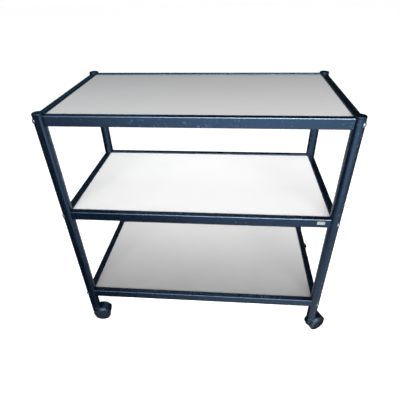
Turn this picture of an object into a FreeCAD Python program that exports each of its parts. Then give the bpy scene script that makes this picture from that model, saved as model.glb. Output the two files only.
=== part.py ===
import FreeCAD, Part
import math
import os

# A three-tier serving trolley on swivelling twin-wheel casters, in millimetres.
# X runs to the right, Y to the rear and Z up. The origin is on the floor, under the middle of the trolley.

# Layout of the frame: distances between leg axes, and the height of each tier's rail tops
leg_spacing_x = 682.0
leg_spacing_y = 360.0
tier_heights = {"top": 684.0, "middle": 429.0, "bottom": 132.0}

# Round tube legs
leg_radius = 13.5
leg_wall = 1.5

# Plastic caps in the legs' upper ends
cap_head_height = 4.5
cap_edge_radius = 2.2
cap_plug_length = 8.0
cap_plug_wall = 2.0
plug_clearance = 0.1

# Rectangular tube rails
rail_width = 17.0
rail_height = 24.0
rail_wall = 1.5
rail_edge_radius = 2.0
rail_bore_radius = 0.8
leg_clearance = 0.2

# Glass shelf panels
panel_recess = 2.7
panel_thickness = 4.0
panel_margin = 1.0
panel_corner_clip = 3.5
panel_arris = 0.7

# Glazing seals: a base under the panel's rim and an upstand beside its edge
seal_base = 1.0
seal_base_width = 8.0
seal_drop = 0.5
seal_gap = 0.2
seal_corner_clip = 3.6

# Support ledges, flat bars on the rails' inner faces
ledge_width = 10.0
ledge_thickness = 2.5

# Corner brackets: a flange under the panel's corner and an upright plate across the corner
bracket_leg = 32.0
bracket_plate_offset = 20.0
bracket_plate_thickness = 3.0
bracket_plate_drop = 11.0
bracket_boss_radius = 5.5
bracket_boss_length = 6.0

# Domed corner bolts, which run through the leg towards the middle of the trolley
bolt_radius = 3.0
bolt_drop = 12.5
bolt_thread_end = 1.5
bolt_clearance = 0.3
bolt_thread_clearance = 0.05
bolt_head_radius = 5.8
bolt_head_height = 2.6
bolt_seat_gap = 0.1
bolt_recess_width = 1.3
bolt_recess_length = 6.0
bolt_recess_depth = 1.4

# Blank plate at the right end of the middle front rail
plate_length = 19.0
plate_height = 9.0
plate_thickness = 0.8
plate_corner_radius = 1.0
plate_end_distance = 34.0
plate_drop = 9.5

# Sockets in the legs' lower ends
socket_flange = 2.0
socket_flange_edge = 0.5
socket_plug_length = 38.0

# Caster stems
stem_radius = 4.0
stem_socket_depth = 32.0
stem_collar_radius = 6.4
stem_collar_height = 1.0
stem_length_below_collar = 26.0
stem_chamfer = 0.8

# Caster wheels: a rounded tread, and a raised cover in the outer face with a groove round it
wheel_radius = 25.0
wheel_width = 10.0
wheel_tread_radius = 1.6
wheel_cover_radius = 21.0
wheel_cover_height = 1.0
wheel_cover_edge = 0.9
wheel_groove_width = 1.0
wheel_groove_depth = 0.8
wheel_rim_width = 4.5
wheel_inner_recess = 2.2
wheel_hub_radius = 6.0
axle_radius = 3.0
axle_depth_in_wheel = 7.0
axle_end_play = 0.3

# Caster housings: a half drum over the wheels, a body between them and a round tower for the stem
caster_trail = 17.5
caster_body_thickness = 12.0
caster_body_radius = 19.5
caster_side_gap = 0.4
hood_half_width = 14.8
hood_gap = 1.2
hood_wall = 1.8
hood_edge_radius = 1.5
hood_far_angle = 14.0
hood_stem_angle = 180.0
tower_rise = 0.7
tower_floor = 3.2
tower_edge_radius = 0.8
stem_bore_end_gap = 0.8
swivel_gap = 0.3
running_clearance = 0.05

# Resting direction of each caster, from its stem to its axle, about the vertical
caster_angles = {"front_left": 10.0, "front_right": 27.0, "rear_right": 333.0, "rear_left": 207.0}

overrun = 2.0
full_turn = 360.0
half_share = 0.5
diagonal_share = math.sqrt(half_share)

half_x = leg_spacing_x / 2
half_y = leg_spacing_y / 2
inner_offset = rail_width / 2
inner_half_x = half_x - inner_offset
inner_half_y = half_y - inner_offset

# The tower carries the leg's line on downwards
tower_radius = leg_radius

# Heights from the wheels up to the leg's lower end
hood_inner_radius = wheel_radius + hood_gap
hood_outer_radius = hood_inner_radius + hood_wall
tower_top = wheel_radius + hood_outer_radius + tower_rise
collar_low = tower_top + swivel_gap
socket_low = collar_low + stem_collar_height
leg_foot_height = socket_low + socket_flange
stem_lower_end = collar_low - stem_length_below_collar
stem_bore_floor = stem_lower_end - stem_bore_end_gap
tower_low = stem_bore_floor - tower_floor

corners = {
    "front_left": (-1, -1),
    "front_right": (1, -1),
    "rear_left": (-1, 1),
    "rear_right": (1, 1),
}
X_AXIS = FreeCAD.Vector(1, 0, 0)
Y_AXIS = FreeCAD.Vector(0, 1, 0)
Z_AXIS = FreeCAD.Vector(0, 0, 1)


def point(x, y, z):
    return FreeCAD.Vector(x, y, z)


def save(name, shape):
    shape.exportStep(os.path.join("parts", name + ".step"))


def box(x0, x1, y0, y1, z0, z1):
    return Part.makeBox(x1 - x0, y1 - y0, z1 - z0, point(x0, y0, z0))


def upright(radius, z0, z1, x=0, y=0):
    return Part.makeCylinder(radius, z1 - z0, point(x, y, z0), Z_AXIS)


def fuse(shapes):
    joined = shapes[0].multiFuse(shapes[1:]).removeSplitter()
    return joined.Solids[0] if len(joined.Solids) == 1 else joined


def prism(outline, z0, z1):
    wire = Part.makePolygon([point(x, y, z0) for x, y in outline + outline[:1]])
    return Part.Face(wire).extrude(point(0, 0, z1 - z0))


def clipped_plate(size_x, size_y, clip, z0, z1):
    """A plate about the middle, with half sizes size_x and size_y and its corners cut off."""
    outline = [
        (size_x - clip, -size_y),
        (size_x, clip - size_y),
        (size_x, size_y - clip),
        (size_x - clip, size_y),
        (clip - size_x, size_y),
        (-size_x, size_y - clip),
        (-size_x, clip - size_y),
        (clip - size_x, -size_y),
    ]
    return prism(outline, z0, z1)


def corner_frame(shape, corner):
    """Puts a corner piece in its place. It is drawn about the leg's axis, with +X towards the middle."""
    sign_x, sign_y = corners[corner]
    placed = shape.copy()
    inward = math.degrees(math.atan2(-sign_y, -sign_x))
    placed.rotate(point(0, 0, 0), Z_AXIS, inward)
    placed.translate(point(sign_x * half_x, sign_y * half_y, 0))
    return placed


def leg_post(radius, z0, z1, corner):
    sign_x, sign_y = corners[corner]
    return upright(radius, z0, z1, sign_x * half_x, sign_y * half_y)


def bolt_passage(corner, height):
    """The clearance hole for a corner bolt, through both walls of the leg and the ends of the rails."""
    reach = leg_radius + bracket_plate_offset
    start = point(-leg_radius - overrun, 0, height - bolt_drop)
    passage = Part.makeCylinder(bolt_radius + bolt_clearance, reach, start, X_AXIS)
    return corner_frame(passage, corner)


def make_leg(corner):
    tube_top = tier_heights["top"]
    outer = leg_post(leg_radius, leg_foot_height, tube_top, corner)
    bore = leg_post(leg_radius - leg_wall, leg_foot_height - overrun, tube_top + overrun, corner)
    passages = [bolt_passage(corner, height) for height in tier_heights.values()]
    return outer.cut([bore] + passages)


def make_leg_cap(corner):
    """A cap with a rounded head on the tube's end and a hollow plug inside it."""
    seat = tier_heights["top"]
    head = leg_post(leg_radius, seat, seat + cap_head_height, corner)
    rim = [e for e in head.Edges if all(v.Z > seat + cap_head_height / 2 for v in e.Vertexes)]
    head = head.makeFillet(cap_edge_radius, rim)
    plug_radius = leg_radius - leg_wall - plug_clearance
    plug = leg_post(plug_radius, seat - cap_plug_length, seat, corner)
    hollow = leg_post(plug_radius - cap_plug_wall, seat - cap_plug_length - overrun, seat, corner)
    return fuse([head, plug.cut(hollow)])


def rounded_bar(length, width, height, radius, along):
    """A bar about the origin with its four long edges rounded, along the X or Y axis."""
    if along == "x":
        bar = box(-length / 2, length / 2, -width / 2, width / 2, -height, 0)
    else:
        bar = box(-width / 2, width / 2, -length / 2, length / 2, -height, 0)
    axis = X_AXIS if along == "x" else Y_AXIS
    long_edges = [e for e in bar.Edges if abs(e.tangentAt(e.FirstParameter).dot(axis)) > half_share]
    return bar.makeFillet(radius, long_edges)


def make_rail(tier, side):
    """A tube rail with its ends coped to the legs and notched for the corner bolts."""
    height = tier_heights[tier]
    along = "x" if side in ("front", "rear") else "y"
    length = leg_spacing_x if along == "x" else leg_spacing_y
    outer = rounded_bar(length, rail_width, rail_height, rail_edge_radius, along)
    bore = rounded_bar(
        length + 2 * overrun,
        rail_width - 2 * rail_wall,
        rail_height - 2 * rail_wall,
        rail_bore_radius,
        along,
    )
    bore.translate(point(0, 0, -rail_wall))
    rail = outer.cut(bore)
    shift = {
        "front": point(0, -half_y, height),
        "rear": point(0, half_y, height),
        "left": point(-half_x, 0, height),
        "right": point(half_x, 0, height),
    }[side]
    rail.translate(shift)
    low, high = height - rail_height - overrun, height + overrun
    ends = [corner for corner in corners if side in corner]
    for corner in ends:
        rail = rail.cut(leg_post(leg_radius + leg_clearance, low, high, corner))
        rail = rail.cut(bolt_passage(corner, height))
    return max(rail.Solids, key=lambda solid: solid.Volume)


def make_panel(tier):
    top = tier_heights[tier] - panel_recess
    size_x = inner_half_x - panel_margin
    size_y = inner_half_y - panel_margin
    plate = clipped_plate(size_x, size_y, panel_corner_clip, top - panel_thickness, top)
    upper = [e for e in plate.Edges if all(abs(v.Z - top) < panel_arris / 2 for v in e.Vertexes)]
    return plate.makeChamfer(panel_arris, upper)


def make_seal(tier):
    """A closed gasket with an L section: its base is under the panel and its upstand beside it."""
    panel_top = tier_heights[tier] - panel_recess
    floor = panel_top - panel_thickness - seal_base
    size_x = inner_half_x - seal_gap
    size_y = inner_half_y - seal_gap
    edge_x = inner_half_x - panel_margin
    edge_y = inner_half_y - panel_margin
    block = clipped_plate(size_x, size_y, seal_corner_clip, floor, panel_top - seal_drop)
    pocket = clipped_plate(
        edge_x + seal_gap, edge_y + seal_gap, panel_corner_clip, floor + seal_base, panel_top + overrun
    )
    window = clipped_plate(
        edge_x - seal_base_width,
        edge_y - seal_base_width,
        seal_corner_clip,
        floor - overrun,
        panel_top + overrun,
    )
    return block.cut([pocket, window])


def ledge_levels(tier):
    """The lower and upper height of the ledges and of the brackets' flanges."""
    upper = tier_heights[tier] - panel_recess - panel_thickness - seal_base
    return upper - ledge_thickness, upper


def make_ledges(tier):
    """Four flat bars along the rails' inner faces, between the corner brackets."""
    low, high = ledge_levels(tier)
    end_x = inner_half_x - bracket_leg
    end_y = inner_half_y - bracket_leg
    bars = [
        box(-end_x, end_x, -inner_half_y, ledge_width - inner_half_y, low, high),
        box(-end_x, end_x, inner_half_y - ledge_width, inner_half_y, low, high),
        box(-inner_half_x, ledge_width - inner_half_x, -end_y, end_y, low, high),
        box(inner_half_x - ledge_width, inner_half_x, -end_y, end_y, low, high),
    ]
    return Part.makeCompound(bars)


def make_bracket(corner, tier):
    """Flange, upright plate and threaded boss, drawn with the corner's diagonal along +X."""
    low, high = ledge_levels(tier)
    axis_height = tier_heights[tier] - bolt_drop
    apex = inner_offset / diagonal_share
    reach = apex + bracket_leg * diagonal_share
    half_span = bracket_leg * diagonal_share
    flange = prism([(apex, 0), (reach, -half_span), (reach, half_span)], low, high)
    near = bracket_plate_offset
    far = near + bracket_plate_thickness
    outline = [(near, apex - near), (far, apex - far), (far, far - apex), (near, near - apex)]
    plate = prism(outline, low - bracket_plate_drop, high)
    boss_start = point(near, 0, axis_height)
    boss_length = bracket_plate_thickness + bracket_boss_length
    boss = Part.makeCylinder(bracket_boss_radius, boss_length, boss_start, X_AXIS)
    thread = Part.makeCylinder(
        bolt_radius + bolt_thread_clearance,
        boss_length + 2 * overrun,
        point(near - overrun, 0, axis_height),
        X_AXIS,
    )
    passage = Part.makeCylinder(bolt_radius + bolt_clearance, near, point(0, 0, axis_height), X_AXIS)
    headroom = box(apex, reach, -half_span, half_span, high, high + bracket_boss_radius)
    leg_space = upright(leg_radius + leg_clearance, low - rail_height, high + overrun)
    bracket = fuse([flange, plate, boss]).cut([thread, passage, headroom, leg_space])
    return corner_frame(bracket, corner)


def make_bolt(corner, tier):
    """A domed head that fits the leg's curve and a plain shank, drawn along +X through the leg."""
    crest = -leg_radius - bolt_head_height
    skirt = leg_radius - math.sqrt(leg_radius**2 - bolt_head_radius**2)
    blank = Part.makeCylinder(bolt_head_radius, bolt_head_height + skirt, point(crest, 0, 0), X_AXIS)
    dome_radius = (bolt_head_radius**2 + bolt_head_height**2) / (2 * bolt_head_height)
    dome = Part.makeSphere(dome_radius, point(crest + dome_radius, 0, 0))
    leg_space = upright(leg_radius + bolt_seat_gap, -2 * bolt_head_radius, 2 * bolt_head_radius)
    head = blank.common(dome).cut(leg_space)
    recess_floor = crest + bolt_recess_depth
    arm, slot = bolt_recess_length / 2, bolt_recess_width / 2
    recess = [
        box(crest - overrun, recess_floor, -arm, arm, -slot, slot),
        box(crest - overrun, recess_floor, -slot, slot, -arm, arm),
    ]
    tip = bracket_plate_offset + bracket_plate_thickness + bracket_boss_length + bolt_thread_end
    shank = Part.makeCylinder(bolt_radius, tip - recess_floor, point(recess_floor, 0, 0), X_AXIS)
    bolt = fuse([head.cut(recess), shank])
    bolt.translate(point(0, 0, tier_heights[tier] - bolt_drop))
    return corner_frame(bolt, corner)


def make_blank_plate():
    """A plain plate with rounded corners on the front face of the middle front rail."""
    centre_x = half_x - plate_end_distance
    centre_z = tier_heights["middle"] - plate_drop
    face_y = -half_y - rail_width / 2
    plate = box(
        centre_x - plate_length / 2,
        centre_x + plate_length / 2,
        face_y - plate_thickness,
        face_y,
        centre_z - plate_height / 2,
        centre_z + plate_height / 2,
    )
    short_edges = [
        e for e in plate.Edges if abs(e.tangentAt(e.FirstParameter).dot(Y_AXIS)) > half_share
    ]
    return plate.makeFillet(plate_corner_radius, short_edges)


def make_socket(corner):
    """A plug in the leg's lower end with a flange under the tube and a bore for the stem."""
    flange = leg_post(leg_radius, socket_low, leg_foot_height, corner)
    rim = [e for e in flange.Edges if all(v.Z < socket_low + socket_flange / 2 for v in e.Vertexes)]
    flange = flange.makeFillet(socket_flange_edge, rim)
    plug_radius = leg_radius - leg_wall - plug_clearance
    plug = leg_post(plug_radius, leg_foot_height, leg_foot_height + socket_plug_length, corner)
    bore = leg_post(
        stem_radius + running_clearance,
        socket_low - overrun,
        leg_foot_height + stem_socket_depth + overrun,
        corner,
    )
    return fuse([flange, plug]).cut(bore)


def make_stem(corner):
    """The pin that is pressed into the socket, with a collar under the socket's flange."""
    pin = leg_post(stem_radius, stem_lower_end, leg_foot_height + stem_socket_depth, corner)
    pin = pin.makeChamfer(stem_chamfer, [e for e in pin.Edges if len(e.Vertexes) == 1])
    collar = leg_post(stem_collar_radius, collar_low, socket_low, corner)
    return fuse([pin, collar])


def caster_place(shape, corner):
    """Puts a caster piece in its place. It is drawn with the stem at the origin and the axle along Y."""
    sign_x, sign_y = corners[corner]
    placed = shape.copy()
    placed.rotate(point(0, 0, 0), Z_AXIS, caster_angles[corner])
    placed.translate(point(sign_x * half_x, sign_y * half_y, 0))
    return placed


def about_axle(radius, y0, y1):
    return Part.makeCylinder(radius, y1 - y0, point(caster_trail, y0, wheel_radius), Y_AXIS)


def hood_sector(radius, half_width):
    """The part of a drum about the axle that lies between the hood's two ends."""
    start = math.radians(hood_far_angle)
    stop = math.radians(hood_stem_angle)
    centre = point(caster_trail, -half_width, wheel_radius)

    def rim(angle):
        return centre + point(radius * math.cos(angle), 0, radius * math.sin(angle))

    outline = Part.Wire(
        [
            Part.makeLine(centre, rim(start)),
            Part.Arc(rim(start), rim((start + stop) / 2), rim(stop)).toShape(),
            Part.makeLine(rim(stop), centre),
        ]
    )
    return Part.Face(outline).extrude(point(0, 2 * half_width, 0))


def circles_of(shape, radius):
    """The circular edges of a shape that have this radius."""
    arcs = [e for e in shape.Edges if isinstance(e.Curve, Part.Circle)]
    return [e for e in arcs if math.isclose(e.Curve.Radius, radius)]


def make_housing(corner):
    """The hood over both wheels, the body between them and the tower that turns on the stem."""
    body_half = caster_body_thickness / 2
    drum = hood_sector(hood_outer_radius, hood_half_width)
    drum = drum.makeFillet(hood_edge_radius, circles_of(drum, hood_outer_radius))
    tower = upright(tower_radius, tower_low, tower_top)
    tower = tower.makeFillet(tower_edge_radius, circles_of(tower, tower_radius))
    space_half = hood_half_width + overrun
    wheel_space = about_axle(hood_inner_radius, -space_half, space_half)
    shell = fuse([drum, tower]).cut(wheel_space)
    tower_core = tower.common(box(-tower_radius, tower_radius, -body_half, body_half, 0, tower_top))
    web = hood_sector(hood_inner_radius + hood_wall / 2, body_half)
    body = about_axle(caster_body_radius, -body_half, body_half)
    stem_bore = upright(stem_radius + running_clearance, stem_bore_floor, tower_top)
    axle_bore = about_axle(axle_radius, -body_half, body_half)
    housing = fuse([shell, tower_core, web, body]).cut([stem_bore, axle_bore])
    return caster_place(housing, corner)


def make_axle(corner):
    reach = caster_body_thickness / 2 + caster_side_gap + axle_depth_in_wheel
    return caster_place(about_axle(axle_radius, -reach, reach), corner)


def make_wheel(corner, side):
    """A wheel with its outer face towards +Y, or towards -Y where side is negative."""
    inner_face = caster_body_thickness / 2 + caster_side_gap
    outer_face = inner_face + wheel_width
    rim_edge = wheel_radius - wheel_rim_width
    groove_edge = wheel_cover_radius + wheel_groove_width
    groove_floor = outer_face - wheel_groove_depth
    cover_face = outer_face + wheel_cover_height
    bore_radius = axle_radius + running_clearance
    bore_end = inner_face + axle_depth_in_wheel + axle_end_play
    outline = [
        (bore_radius, inner_face),
        (wheel_hub_radius, inner_face),
        (wheel_hub_radius, inner_face + wheel_inner_recess),
        (rim_edge, inner_face + wheel_inner_recess),
        (rim_edge, inner_face),
        (wheel_radius, inner_face),
        (wheel_radius, outer_face),
        (groove_edge, outer_face),
        (groove_edge, groove_floor),
        (wheel_cover_radius, groove_floor),
        (wheel_cover_radius, cover_face),
        (0, cover_face),
        (0, bore_end),
        (bore_radius, bore_end),
    ]
    points = [point(caster_trail + r, y, wheel_radius) for r, y in outline + outline[:1]]
    section = Part.Face(Part.makePolygon(points))
    wheel = section.revolve(point(caster_trail, 0, wheel_radius), Y_AXIS, full_turn)
    wheel = wheel.makeFillet(wheel_tread_radius, circles_of(wheel, wheel_radius))
    cover_rim = [e for e in circles_of(wheel, wheel_cover_radius) if e.Curve.Center.y > outer_face]
    wheel = wheel.makeFillet(wheel_cover_edge, cover_rim)
    if side < 0:
        wheel = wheel.mirror(point(0, 0, 0), Y_AXIS)
    return caster_place(wheel, corner)


os.makedirs("parts", exist_ok=True)

for corner in corners:
    save("leg_" + corner, make_leg(corner))
    save("leg_cap_" + corner, make_leg_cap(corner))
    save("caster_socket_" + corner, make_socket(corner))
    save("caster_stem_" + corner, make_stem(corner))
    save("caster_housing_" + corner, make_housing(corner))
    save("caster_axle_" + corner, make_axle(corner))
    save("wheel_one_" + corner, make_wheel(corner, -1))
    save("wheel_two_" + corner, make_wheel(corner, 1))

for tier in tier_heights:
    for side in ("front", "rear", "left", "right"):
        save("rail_" + tier + "_" + side, make_rail(tier, side))
    save("shelf_panel_" + tier, make_panel(tier))
    save("panel_seal_" + tier, make_seal(tier))
    save("shelf_ledges_" + tier, make_ledges(tier))
    save("corner_brackets_" + tier, Part.makeCompound([make_bracket(c, tier) for c in corners]))
    save("corner_bolts_" + tier, Part.makeCompound([make_bolt(c, tier) for c in corners]))

save("blank_plate", make_blank_plate())
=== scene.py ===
import math

import bpy
from mathutils import Matrix, Vector


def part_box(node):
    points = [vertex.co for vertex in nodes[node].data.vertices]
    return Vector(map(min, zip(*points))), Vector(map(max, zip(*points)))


# Serving trolley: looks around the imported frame, in metres. +X is right, +Y is the rear, +Z is up.

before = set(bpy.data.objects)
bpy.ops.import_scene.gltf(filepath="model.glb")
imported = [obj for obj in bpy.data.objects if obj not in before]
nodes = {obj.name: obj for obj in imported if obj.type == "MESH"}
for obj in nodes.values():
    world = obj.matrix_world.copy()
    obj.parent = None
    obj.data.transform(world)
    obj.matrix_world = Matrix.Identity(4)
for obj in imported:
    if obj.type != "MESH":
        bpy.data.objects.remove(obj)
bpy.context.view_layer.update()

# Camera, fitted to the photograph's frame edges. Angles in degrees, focal length and centre in pixels
IMAGE_SIZE = 400.0
SENSOR_WIDTH = 36.0
CAMERA_POSITION = (0.08434, -0.8825, 0.93765)
CAMERA_YAW = 5.291
CAMERA_PITCH = 35.375
CAMERA_ROLL = 1.358
FOCAL_PIXELS = 343.645
PRINCIPAL_POINT = (204.815, 212.0)
CLIP_START = 0.02

# Where the middle values of a noise lie
NOISE_LOW = 0.3
NOISE_HIGH = 0.7

# Black powder coat of the legs and rails, with its marks, and the duller coat that is hidden
PAINT_TONES = ((0.0007, 0.0021, 0.0055), (0.0013, 0.0032, 0.0078))
PAINT_GLOSS = 0.85
PAINT_SHEEN = (0.35, 0.60, 1.0)
SCRATCH_TONE = (0.06, 0.10, 0.16)
SCUFF_TONE = (0.012, 0.020, 0.032)
CHIP_TONE = (0.22, 0.26, 0.31)
# The rubbed tone is partly wear and partly a painted highlight, a pale blue line where upper edges catch
# light
RUBBED_HIGHLIGHT_TONE = (0.30, 0.40, 0.50)
RUBBED_HIGHLIGHT_ROUGHNESS = 0.1
HIDDEN_TONES = ((0.0016, 0.0026, 0.0050), (0.0030, 0.0044, 0.0080))

# Where rounded edges are rubbed and carry a painted highlight: how far they face aside and upwards, then two
# places from left to right, in height and from front to rear, each with the shares of rubbing and highlight
# at them
RUBBED_HIGHLIGHT_BEND = (0.35, 0.60)
RUBBED_HIGHLIGHT_LENGTH = (-0.30, 0.30, 0.08, 1.0)
RUBBED_HIGHLIGHT_HEIGHT = (0.15, 0.68, 0.10, 1.0)
RUBBED_HIGHLIGHT_DEPTH = (-0.05, 0.05, 1.0, 0.45)

# Where the scratches fade out to the left, to the right and below the rail, and their slant in degrees
SCRATCH_LEFT = (-0.20, -0.12)
SCRATCH_RIGHT = (0.16, 0.04, 0.25, 1.0)
SCRATCH_FADE = 0.02
SCRATCH_SLANT = -48.0

# Plastics and rubber. The looks of the caps and the casters give tones, roughness, grain and gloss
CAP_LOOK = (((0.0016, 0.0030, 0.0055), (0.003, 0.005, 0.009)), (0.20, 0.27), 1800.0, 0.36)
CASTER_LOOK = (((0.0018, 0.003, 0.006), (0.003, 0.005, 0.009)), (0.18, 0.26), 1500.0, 0.7)
WHEEL_TONES = ((0.006, 0.009, 0.015), (0.009, 0.013, 0.021))
WHEEL_SCUFF_TONE = (0.035, 0.042, 0.055)
WHEEL_GLOSS = 1.0
WHEEL_SHEEN = (0.55, 0.75, 1.0)
RUBBER_TONES = ((0.008, 0.006, 0.005), (0.020, 0.014, 0.011))

# Back-painted glass: each panel's front and rear tones, painted shade and reflection set per tier, a faint
# cloud over them, and the tones of the underside and the edges, with how far the surface faces up where these
# set in
GLASS_SHADED_TONES = {"top": (0.53, 0.405), "middle": (0.69, 0.98), "bottom": (0.26, 0.72)}
GLASS_CLOUD_TONE = (0.70, 0.70, 0.70)
GLASS_CLOUD_SHARE = 0.04
GLASS_UNDER_TONE = (0.72, 0.72, 0.72)
GLASS_UNDER_FACING = (-0.4, -0.6)
GLASS_EDGE_TONE = (0.22, 0.33, 0.29)
GLASS_EDGE_FACING = (0.4, 0.1)
GLASS_GLOSS = 0.18

# Metals. The looks of the steel and the plate give tones, brush, roughness and how metallic they are
ZINC_TONES = ((0.32, 0.35, 0.39), (0.48, 0.50, 0.53))
STEEL_LOOK = (((0.44, 0.45, 0.47), (0.60, 0.61, 0.63)), (1400.0, (1.0, 1.0, 0.04)), (0.24, 0.4), 1.0)
PLATE_LOOK = (((0.27, 0.28, 0.26), (0.38, 0.39, 0.36)), (2600.0, (0.03, 1.0, 1.0)), (0.36, 0.5), 0.6)

# Floor and world. The world's light falls off from the horizon to overhead, between two heights in its sphere
WHITE = (1.0, 1.0, 1.0)
BLACK = (0.0, 0.0, 0.0)
FLOOR_SPAN = (-12.0, 12.0)
FLOOR_TONES = ((0.80, 0.80, 0.80), (0.83, 0.83, 0.83))
FLOOR_ROUGHNESS = 0.9
FLOOR_GLOW = 0.62
WORLD_LIGHT = (0.35, 0.75, 1.1, 0.15)

# Studio cards: the planes that they stand on, and their colours
REAR_WALL = 2.4
RIGHT_WALL = 2.4
LEFT_WALL = -2.2
LOW_WALL = 2.38
WALL_HEIGHT = 5.0
LOW_HEIGHT = 0.7
REAR_SPLIT = -0.6
REAR_SPLIT_HEIGHT = 2.1
REAR_REACH = 3.5
FLOOR_REACH = (-2.6, 2.6)
FRONT_LINE = -0.2
MIDDLE_LINE = 1.3
CARD_LIFT = 0.001
CARD_TINT = (0.92, 0.97, 1.0)
BLUE_TINT = (0.12, 0.62, 1.0)

# Each card: its name, the two axes that it spans, its place on the third one, its spans, its glow, and its
# colour where it isn't the cards' common one. A card without a glow is black
CARDS = [
    ("flag_rear", "xz", REAR_WALL, (REAR_SPLIT, REAR_REACH), (0.0, WALL_HEIGHT), 0.0),
    ("card_rear_left", "xz", REAR_WALL, (-REAR_REACH, REAR_SPLIT), (0.0, REAR_SPLIT_HEIGHT), 0.17, BLUE_TINT),
    ("flag_rear_left", "xz", REAR_WALL, (-REAR_REACH, REAR_SPLIT), (REAR_SPLIT_HEIGHT, WALL_HEIGHT), 0.03),
    ("flag_left", "yz", LEFT_WALL, (-1.6, REAR_WALL), (0.0, 2.0), 0.0),
    ("flag_right", "yz", RIGHT_WALL, (FRONT_LINE, REAR_WALL), (0.0, 3.5), 0.0),
    ("flag_floor", "xy", CARD_LIFT, FLOOR_REACH, (FRONT_LINE, MIDDLE_LINE), 0.0),
    ("card_floor_rear", "xy", CARD_LIFT, FLOOR_REACH, (MIDDLE_LINE, REAR_WALL), 2.0),
    ("card_low_rear", "xz", LOW_WALL, (FLOOR_REACH[0], RIGHT_WALL), (0.0, LOW_HEIGHT), 0.25),
    ("card_low_right", "yz", LOW_WALL, (FRONT_LINE, LOW_WALL), (0.0, LOW_HEIGHT), 0.25),
    ("card_overhead", "yx", 2.6, (-1.7, -0.5), (-0.7, 1.6), 14.0),
    ("flag_leg", "xz", -0.20, (-0.3445, -0.3302), (0.14, 0.69), 0.0),
]

# The graded card on the floor in front: its span from front to rear, two lines ahead of the trolley with the
# glow at them, the edges between which it grows bright, how far they lean to the left beyond the lines,
# and how it falls off to the right
FLOOR_CARD_SPAN = (-3.2, FRONT_LINE)
NEAR_LINE = 0.75
FAR_LINE = 1.30
NEAR_GLOW = 0.85
FAR_GLOW = 2.25
DARK_EDGE = -0.46
DARK_LEAN = 1.8
BRIGHT_EDGE = 0.25
BRIGHT_LEAN = 0.25
RIGHT_FALL = (0.8, 1.4, 1.0, 0.55)

# Each lamp: its name, place, the point that it shines at, its width and depth, and its power in watts
LAMPS = [
    ("strip_overhead", (0.60, -0.75, 2.2), (0.1, -0.1, 0.6), (1.5, 0.35), 8.0),
    ("key_front", (0.3, -3.0, 1.75), (0.0, 0.0, 0.42), (4.0, 1.0), 188.0),
]


class Graph:
    """A node tree, with short calls that add a node and return the output to link on."""

    def __init__(self, tree):
        self.tree = tree

    def add(self, kind, **settings):
        node = self.tree.nodes.new(kind)
        for key, value in settings.items():
            setattr(node, key, value)
        return node

    def feed(self, node, values):
        """Sets or links a node's inputs, which are named by label or by number."""
        for key, value in values.items():
            socket = node.inputs[key]
            if isinstance(value, bpy.types.NodeSocket):
                self.tree.links.new(value, socket)
            elif socket.type == "RGBA":
                socket.default_value = (*value, 1.0)
            else:
                socket.default_value = value
        return node

    def ramp(self, source, low, high, to_low=0.0, to_high=1.0, smooth=True):
        """Maps the range from low to high onto another one, and holds its ends beyond it."""
        node = self.add("ShaderNodeMapRange", interpolation_type="SMOOTHSTEP" if smooth else "LINEAR")
        values = {"Value": source, "From Min": low, "From Max": high, "To Min": to_low, "To Max": to_high}
        return self.feed(node, values).outputs["Result"]

    def math(self, operation, first, second=0.0):
        node = self.add("ShaderNodeMath", operation=operation)
        return self.feed(node, {0: first, 1: second}).outputs[0]

    def times(self, product, *factors):
        for factor in factors:
            product = self.math("MULTIPLY", product, factor)
        return product

    def mix(self, factor, first, second):
        node = self.add("ShaderNodeMix", data_type="RGBA")
        return self.feed(node, {"Factor": factor, 6: first, 7: second}).outputs[2]

    def axis(self, source, name):
        return self.feed(self.add("ShaderNodeSeparateXYZ"), {0: source}).outputs[name]

    def seen(self):
        """One for what the camera sees, directly, in a reflection or through glass, and nought for light."""
        path = self.add("ShaderNodeLightPath")
        seen = self.math("ADD", path.outputs["Is Camera Ray"], path.outputs["Is Glossy Ray"])
        return self.math("ADD", seen, path.outputs["Is Transmission Ray"])


class Finish(Graph):
    """A material's node tree around its main shader."""

    def __init__(self, name):
        self.material = bpy.data.materials.new(name)
        self.material.use_nodes = True
        super().__init__(self.material.node_tree)
        self.shader = self.tree.nodes["Principled BSDF"]
        self.place = self.add("ShaderNodeTexCoord").outputs["Object"]

    def set(self, **values):
        self.feed(self.shader, {key.replace("_", " "): value for key, value in values.items()})

    def noise(self, scale, detail=3.0, roughness=0.5, stretch=(1.0, 1.0, 1.0), turn=0.0):
        """Noise of a scale per metre, drawn out where its stretch is below one, and turned about Y."""
        mapping = self.add("ShaderNodeMapping", vector_type="TEXTURE")
        inverse = tuple(1.0 / share for share in stretch)
        values = {"Vector": self.place, "Scale": inverse, "Rotation": (0.0, math.radians(turn), 0.0)}
        mapped = self.feed(mapping, values)
        node = self.add("ShaderNodeTexNoise")
        values = {"Vector": mapped.outputs[0], "Scale": scale, "Detail": detail, "Roughness": roughness}
        return self.feed(node, values).outputs["Fac"]

    def cells(self, scale):
        node = self.feed(self.add("ShaderNodeTexVoronoi"), {"Vector": self.place, "Scale": scale})
        return node.outputs["Distance"]

    def facing(self, axis):
        """How far the surface faces along an axis, from minus one to one."""
        return self.axis(self.add("ShaderNodeNewGeometry").outputs["Normal"], axis)

    def mottle(self, source, tones, low=NOISE_LOW, high=NOISE_HIGH):
        """Two tones, mixed by a noise."""
        return self.mix(self.ramp(source, low, high), *tones)

    def spread(self, source, low, high):
        """A noise's middle values, spread evenly from low to high."""
        return self.ramp(source, NOISE_LOW, NOISE_HIGH, low, high, smooth=False)

    def bump(self, height, distance, strength=0.5):
        values = {"Height": height, "Distance": distance, "Strength": strength}
        return self.feed(self.add("ShaderNodeBump"), values).outputs["Normal"]


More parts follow.
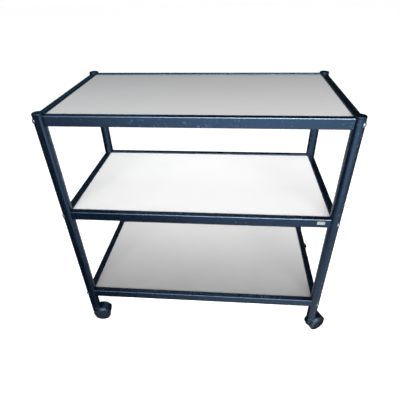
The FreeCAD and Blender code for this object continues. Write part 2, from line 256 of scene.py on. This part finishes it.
def rubbed_highlight_mask(graph):
    """A mask of the rounded upper edges from left to right, rubbed and given a painted highlight more to the
    right, up and in front.
    """
    aside = graph.ramp(graph.math("ABSOLUTE", graph.facing("Y")), *RUBBED_HIGHLIGHT_BEND)
    upward = graph.ramp(graph.facing("Z"), *RUBBED_HIGHLIGHT_BEND)
    length = graph.ramp(graph.axis(graph.place, "X"), *RUBBED_HIGHLIGHT_LENGTH)
    height = graph.ramp(graph.axis(graph.place, "Z"), *RUBBED_HIGHLIGHT_HEIGHT)
    depth = graph.ramp(graph.axis(graph.place, "Y"), *RUBBED_HIGHLIGHT_DEPTH)
    return graph.times(aside, upward, length, height, depth)


def scratches(graph):
    """Short, fine slanted strokes along the lower half of the top rails, left of their middle."""
    low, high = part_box("rail_top_front")
    middle = (low.z + high.z) / 2
    height = graph.axis(graph.place, "Z")
    across = graph.axis(graph.place, "X")
    lower_end = graph.ramp(height, low.z - SCRATCH_FADE, low.z)
    upper_end = graph.ramp(height, high.z, middle)
    left_end = graph.ramp(across, *SCRATCH_LEFT)
    right_end = graph.ramp(across, *SCRATCH_RIGHT)
    patch = graph.ramp(graph.noise(14.0, 2.0), 0.44, 0.54)
    strokes = graph.noise(700.0, 0.0, 0.0, stretch=(1.0, 1.0, 0.10), turn=SCRATCH_SLANT)
    strokes = graph.ramp(strokes, 0.68, 0.76)
    return graph.times(strokes, patch, lower_end, upper_end, left_end, right_end)


def make_frame_paint():
    """Semi-gloss black powder coat: blue cast, fine orange peel, scratches, small chips and a painted edge
    highlight.
    """
    graph = Finish("frame_paint")
    base = graph.mottle(graph.noise(9.0, 4.0, 0.55), PAINT_TONES, 0.35, 0.65)
    base = graph.mix(scratches(graph), base, SCRATCH_TONE)
    scuff = graph.noise(70.0, 5.0, 0.7, stretch=(0.15, 1.0, 1.0))
    base = graph.mix(graph.ramp(scuff, 0.62, 0.74, 0.0, 0.25), base, SCUFF_TONE)
    chips = graph.ramp(graph.noise(420.0, 1.0, 0.4), 0.745, 0.77)
    rare = graph.ramp(graph.noise(16.0, 1.0), 0.52, 0.60)
    base = graph.mix(graph.times(chips, rare), base, CHIP_TONE)
    # Painted highlight: a pale blue line on the rubbed upper edges, stronger to the right and on the front
    # rails
    rubbed_highlight = rubbed_highlight_mask(graph)
    base = graph.mix(rubbed_highlight, base, RUBBED_HIGHLIGHT_TONE)
    rough = graph.spread(graph.noise(26.0, 4.0, 0.6), 0.24, 0.32)
    rough = graph.math("ADD", rough, graph.times(rubbed_highlight, RUBBED_HIGHLIGHT_ROUGHNESS))
    graph.set(Base_Color=base, Roughness=rough, Normal=graph.bump(graph.noise(900.0, 2.0), 0.00001))
    graph.set(Specular_IOR_Level=PAINT_GLOSS, Specular_Tint=PAINT_SHEEN)
    return graph.material


def make_hidden_paint():
    """The same coat inside the frame's corners and on the ledges, duller and unmarked."""
    graph = Finish("hidden_paint")
    base = graph.mottle(graph.noise(14.0, 4.0, 0.6), HIDDEN_TONES)
    rough = graph.spread(graph.noise(60.0), 0.42, 0.55)
    graph.set(Base_Color=base, Roughness=rough, Normal=graph.bump(graph.noise(800.0), 0.00005))
    return graph.material


def make_moulded(name, tones, roughness, grain, gloss):
    """Moulded plastic: a mottled colour under a fine pressed grain."""
    graph = Finish(name)
    base = graph.mottle(graph.noise(30.0, 4.0, 0.6), tones)
    rough = graph.spread(graph.noise(90.0, 4.0, 0.65), *roughness)
    graph.set(Base_Color=base, Roughness=rough, Normal=graph.bump(graph.cells(grain), 0.00004))
    graph.set(Specular_IOR_Level=gloss, Specular_Tint=PAINT_SHEEN)
    return graph.material


def make_wheel_plastic():
    """Blue-black nylon with lighter scuffs and a fine pressed grain."""
    graph = Finish("wheel_plastic")
    base = graph.mottle(graph.noise(40.0, 4.0, 0.6), WHEEL_TONES)
    scuff = graph.noise(260.0, 4.0, 0.7, stretch=(1.0, 1.0, 0.2))
    base = graph.mix(graph.ramp(scuff, 0.62, 0.76, 0.0, 0.5), base, WHEEL_SCUFF_TONE)
    rough = graph.spread(graph.noise(120.0, 4.0, 0.65), 0.22, 0.32)
    graph.set(Base_Color=base, Roughness=rough, Normal=graph.bump(graph.cells(2600.0), 0.00003))
    graph.set(Specular_IOR_Level=WHEEL_GLOSS, Specular_Tint=WHEEL_SHEEN)
    return graph.material


def make_shaded_shelf_glass(tier):
    """Back-painted pale glass. The tone runs softly from the front edge to the rear edge, as painted shade
    and reflection for this tier.
    """
    graph = Finish("shaded_shelf_glass_" + tier)
    low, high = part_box("shelf_panel_top")
    # Painted shade and reflection: each tier has its own front and rear tones, faded from front to rear
    depth = graph.ramp(graph.axis(graph.place, "Y"), low.y, high.y, smooth=False)
    base = graph.mix(depth, *((tone, tone, tone) for tone in GLASS_SHADED_TONES[tier]))
    cloud = graph.ramp(graph.noise(7.0), 0.35, 0.65, 0.0, GLASS_CLOUD_SHARE)
    base = graph.mix(cloud, base, GLASS_CLOUD_TONE)
    upward = graph.facing("Z")
    base = graph.mix(graph.ramp(upward, *GLASS_UNDER_FACING), base, GLASS_UNDER_TONE)
    edge = graph.ramp(graph.math("ABSOLUTE", upward), *GLASS_EDGE_FACING)
    base = graph.mix(edge, base, GLASS_EDGE_TONE)
    rough = graph.spread(graph.noise(55.0, 4.0, 0.6), 0.42, 0.48)
    graph.set(Base_Color=base, Roughness=rough, Normal=graph.bump(graph.noise(180.0), 0.00001, 0.4))
    graph.set(Specular_IOR_Level=GLASS_GLOSS)
    return graph.material


def make_seal_rubber():
    """Matt rubber, almost black."""
    graph = Finish("seal_rubber")
    base = graph.mottle(graph.noise(120.0, 4.0, 0.6), RUBBER_TONES)
    rough = graph.spread(graph.noise(300.0), 0.65, 0.8)
    graph.set(Base_Color=base, Roughness=rough, Normal=graph.bump(graph.noise(1500.0), 0.00006, 0.6))
    return graph.material


def make_zinc():
    """Bright zinc plating: a patchy blue-white film over fine tool marks."""
    graph = Finish("zinc")
    base = graph.mottle(graph.noise(260.0, 4.0, 0.6), ZINC_TONES)
    rough = graph.spread(graph.noise(500.0, 4.0, 0.65), 0.22, 0.38)
    marks = graph.bump(graph.noise(2400.0), 0.00002, 0.6)
    graph.set(Base_Color=base, Roughness=rough, Metallic=1.0, Normal=marks)
    return graph.material


def make_brushed(name, tones, brush, roughness, metallic):
    """Metal with fine marks that all run one way. The brush gives their scale and stretch."""
    graph = Finish(name)
    scale, stretch = brush
    marks = graph.noise(scale, 3.0, 0.6, stretch=stretch)
    base = graph.mottle(marks, tones)
    rough = graph.spread(marks, *roughness)
    graph.set(Base_Color=base, Roughness=rough, Metallic=metallic, Normal=graph.bump(marks, 0.00002, 0.6))
    return graph.material


def dress(prefix, material):
    """Gives one material to every node whose name starts with the prefix."""
    for name, node in nodes.items():
        if name.startswith(prefix):
            node.data.materials.clear()
            node.data.materials.append(material)


def dress_nodes():
    """Dresses every node. The caps come after the legs, whose prefix they share."""
    paint = make_frame_paint()
    hidden_paint = make_hidden_paint()
    cap_plastic = make_moulded("cap_plastic", *CAP_LOOK)
    caster_plastic = make_moulded("caster_plastic", *CASTER_LOOK)
    steel = make_brushed("steel", *STEEL_LOOK)
    dress("leg_", paint)
    dress("rail_", paint)
    dress("leg_cap_", cap_plastic)
    dress("caster_socket_", cap_plastic)
    dress("shelf_ledges_", hidden_paint)
    dress("corner_brackets_", hidden_paint)
    dress("corner_bolts_", make_zinc())
    dress("panel_seal_", make_seal_rubber())
    for tier in GLASS_SHADED_TONES:
        dress("shelf_panel_" + tier, make_shaded_shelf_glass(tier))
    dress("blank_plate", make_brushed("plate_metal", *PLATE_LOOK))
    dress("caster_stem_", steel)
    dress("caster_axle_", steel)
    dress("caster_housing_", caster_plastic)
    dress("wheel_", make_wheel_plastic())


def rectangle(axes, place, first, second):
    """The corners of a rectangle that spans two axes, at a place on the third one."""
    corners = []
    for i, j in ((0, 0), (1, 0), (1, 1), (0, 1)):
        corner = Vector((place, place, place))
        setattr(corner, axes[0], first[i])
        setattr(corner, axes[1], second[j])
        corners.append(corner)
    return corners


def add_sheet(name, corners, material):
    """A flat four-cornered sheet with one material."""
    mesh = bpy.data.meshes.new(name)
    mesh.from_pydata(corners, [], [(0, 1, 2, 3)])
    mesh.materials.append(material)
    sheet = bpy.data.objects.new(name, mesh)
    bpy.context.scene.collection.objects.link(sheet)
    return sheet


def make_floor():
    """A wide pale floor that shows white and still takes the trolley's shadow."""
    graph = Finish("floor_paper")
    tone = graph.mix(graph.noise(3.0, 4.0), *FLOOR_TONES)
    graph.set(Base_Color=tone, Roughness=FLOOR_ROUGHNESS, Specular_IOR_Level=0.0)
    graph.set(Emission_Color=WHITE, Emission_Strength=graph.times(graph.seen(), FLOOR_GLOW))
    floor = add_sheet("floor", rectangle("xy", 0.0, FLOOR_SPAN, FLOOR_SPAN), graph.material)


def make_card(name, corners, glow, tint=CARD_TINT):
    """A studio card that only reflections see: black where it is a flag, bright where it is a reflector."""
    graph = Finish(name)
    graph.set(Base_Color=BLACK, Roughness=1.0, Specular_IOR_Level=0.0)
    graph.set(Emission_Color=tint, Emission_Strength=glow)
    card = add_sheet(name, corners, graph.material)
    card.visible_camera = False
    card.visible_diffuse = False
    card.visible_shadow = False
    card.visible_transmission = False
    return graph


def make_floor_card():
    """A graded reflector on the floor in front: bright far out on the right, dark near the left side."""
    graph = make_card("card_floor_front", rectangle("xy", CARD_LIFT, FLOOR_REACH, FLOOR_CARD_SPAN), 0.0)
    across = graph.axis(graph.place, "X")
    ahead = graph.axis(graph.place, "Y")
    near = graph.math("MINIMUM", graph.math("ADD", ahead, NEAR_LINE), 0.0)
    far = graph.math("MINIMUM", graph.math("ADD", ahead, FAR_LINE), 0.0)
    dark_edge = graph.math("ADD", graph.times(far, DARK_LEAN), DARK_EDGE)
    bright_edge = graph.math("ADD", graph.times(near, BRIGHT_LEAN), BRIGHT_EDGE)
    rise = graph.ramp(across, dark_edge, bright_edge)
    fall = graph.ramp(across, *RIGHT_FALL)
    reach = graph.ramp(ahead, -NEAR_LINE, -FAR_LINE, NEAR_GLOW, FAR_GLOW)
    graph.set(Emission_Strength=graph.times(rise, fall, reach))


def make_world():
    """White to the camera and to reflections. Its light is stronger near the horizon than overhead."""
    world = bpy.data.worlds.new("studio")
    bpy.context.scene.world = world
    world.use_nodes = True
    graph = Graph(world.node_tree)
    upward = graph.axis(graph.add("ShaderNodeTexCoord").outputs["Generated"], "Z")
    light = graph.ramp(upward, *WORLD_LIGHT)
    strength = graph.ramp(graph.seen(), 0.0, 1.0, light, 1.0, smooth=False)
    graph.feed(graph.tree.nodes["Background"], {"Color": WHITE, "Strength": strength})


def make_lamp(name, position, target, size, power):
    """A rectangular soft lamp that shines at a point."""
    data = bpy.data.lights.new(name, "AREA")
    data.shape = "RECTANGLE"
    data.size, data.size_y = size
    data.energy = power
    lamp = bpy.data.objects.new(name, data)
    bpy.context.scene.collection.objects.link(lamp)
    lamp.location = position
    lamp.rotation_euler = (Vector(target) - Vector(position)).to_track_quat("-Z", "Y").to_euler()


def make_camera():
    """The photograph's camera, turned by its yaw, then its pitch, then its roll."""
    yaw, pitch, roll = (math.radians(angle) for angle in (CAMERA_YAW, CAMERA_PITCH, CAMERA_ROLL))
    ahead = Vector((-math.sin(yaw) * math.cos(pitch), math.cos(yaw) * math.cos(pitch), -math.sin(pitch)))
    level = Vector((math.cos(yaw), math.sin(yaw), 0.0))
    down = ahead.cross(level)
    right = math.cos(roll) * level + math.sin(roll) * down
    lower = math.cos(roll) * down - math.sin(roll) * level
    data = bpy.data.cameras.new("camera")
    camera = bpy.data.objects.new("camera", data)
    bpy.context.scene.collection.objects.link(camera)
    turn = Matrix((right, -lower, -ahead)).transposed()
    camera.matrix_world = Matrix.Translation(CAMERA_POSITION) @ turn.to_4x4()
    data.sensor_width = SENSOR_WIDTH
    data.lens = SENSOR_WIDTH * FOCAL_PIXELS / IMAGE_SIZE
    data.shift_x = (IMAGE_SIZE / 2 - PRINCIPAL_POINT[0]) / IMAGE_SIZE
    data.shift_y = (PRINCIPAL_POINT[1] - IMAGE_SIZE / 2) / IMAGE_SIZE
    data.clip_start = CLIP_START
    bpy.context.scene.camera = camera


dress_nodes()
make_floor()
for name, axes, place, first, second, *light in CARDS:
    make_card(name, rectangle(axes, place, first, second), *light)
make_floor_card()
make_world()
for lamp in LAMPS:
    make_lamp(*lamp)
make_camera()
bpy.context.scene.view_settings.view_transform = "Standard"
